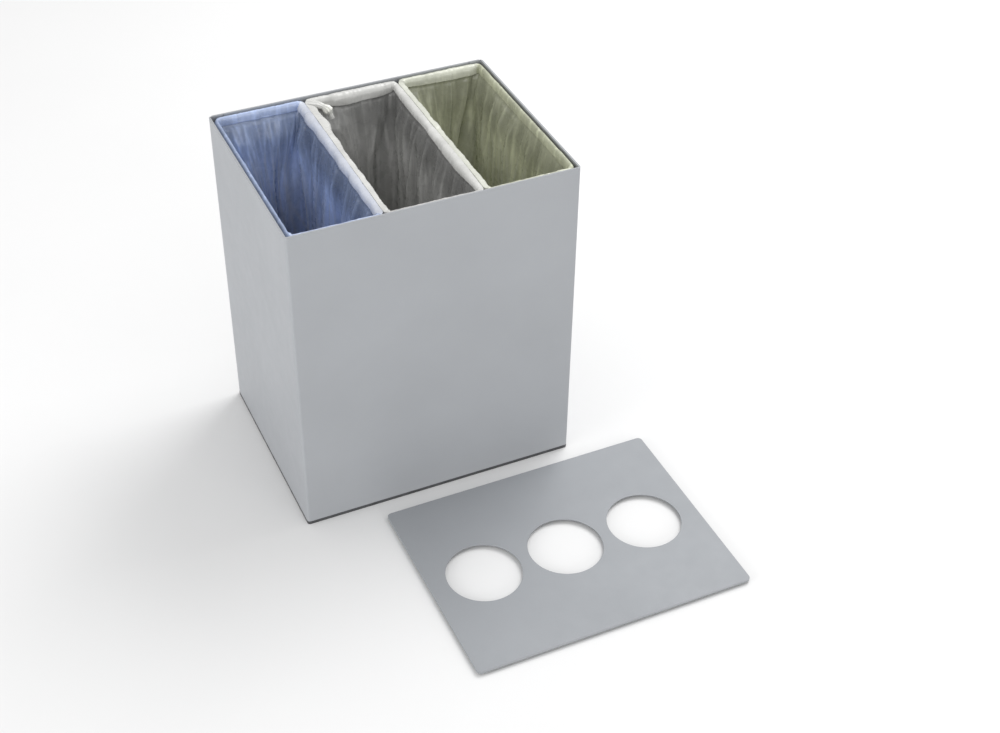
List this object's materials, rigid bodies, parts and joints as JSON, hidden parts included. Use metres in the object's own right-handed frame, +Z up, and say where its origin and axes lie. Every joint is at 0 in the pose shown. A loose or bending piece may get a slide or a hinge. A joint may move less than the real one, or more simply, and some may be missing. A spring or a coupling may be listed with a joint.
{
  "type": "three-compartment litter bin",
  "caption": "Open-topped rectangular sheet-metal recycling bin with film liners on lift-out wire hoops and a loose flat lid with round openings.",
  "frame": {"origin": "on the floor, at the middle of the casing's underside", "axes": "+X to the right along the wide front, +Y towards the back, +Z up; the lid lies on the floor in front, towards -Y"},
  "size_m": [0.63, 0.8206, 0.6],
  "materials": {
    "casing_paint": "fine-texture silver-grey powder coat, satin",
    "lid_paint": "fine-texture silver-grey powder coat, satin",
    "black_plastic": "moulded, matte",
    "wire_steel": "bright zinc-plated wire",
    "rivet_metal": "plain blind-rivet heads",
    "blue_film": "thin translucent film, crinkled",
    "grey_film": "thin translucent film, crinkled",
    "green_film": "thin translucent film, crinkled"
  },
  "bodies": {
    "casing": {"casing_wrap": "casing_paint", "back_panel": "casing_paint", "base_pan": "casing_paint", "floor_plate": "black_plastic", "front_ledge": "casing_paint", "rear_ledge": "casing_paint", "back_rivet_1": "rivet_metal", "back_rivet_2": "rivet_metal", "back_rivet_3": "rivet_metal", "back_rivet_4": "rivet_metal", "back_rivet_5": "rivet_metal", "back_rivet_6": "rivet_metal", "back_rivet_7": "rivet_metal", "back_rivet_8": "rivet_metal", "back_rivet_9": "rivet_metal", "back_rivet_10": "rivet_metal", "floor_plate_clip_1": "black_plastic", "floor_plate_clip_2": "black_plastic", "floor_plate_clip_3": "black_plastic", "floor_plate_clip_4": "black_plastic"},
    "left_bag": {"left_hoop": "wire_steel", "left_liner": "blue_film"},
    "middle_bag": {"middle_hoop": "wire_steel", "middle_liner": "grey_film"},
    "right_bag": {"right_hoop": "wire_steel", "right_liner": "green_film"},
    "lid": {"lid": "lid_paint", "lid_locator_1": "black_plastic", "lid_locator_2": "black_plastic", "lid_locator_3": "black_plastic", "lid_locator_4": "black_plastic"}
  },
  "joints": [
    {"name": "left_hoop_lift", "type": "slide", "parent": "casing", "child": "left_bag", "axis": [0, 0, 1], "range_m": [0, 0.6]},
    {"name": "middle_hoop_lift", "type": "slide", "parent": "casing", "child": "middle_bag", "axis": [0, 0, 1], "range_m": [0, 0.6]},
    {"name": "right_hoop_lift", "type": "slide", "parent": "casing", "child": "right_bag", "axis": [0, 0, 1], "range_m": [0, 0.6]},
    {"name": "lid_lift", "type": "slide", "parent": "casing", "child": "lid", "axis": [0, 0, 1], "range_m": [0, 0.65]}
  ]
}
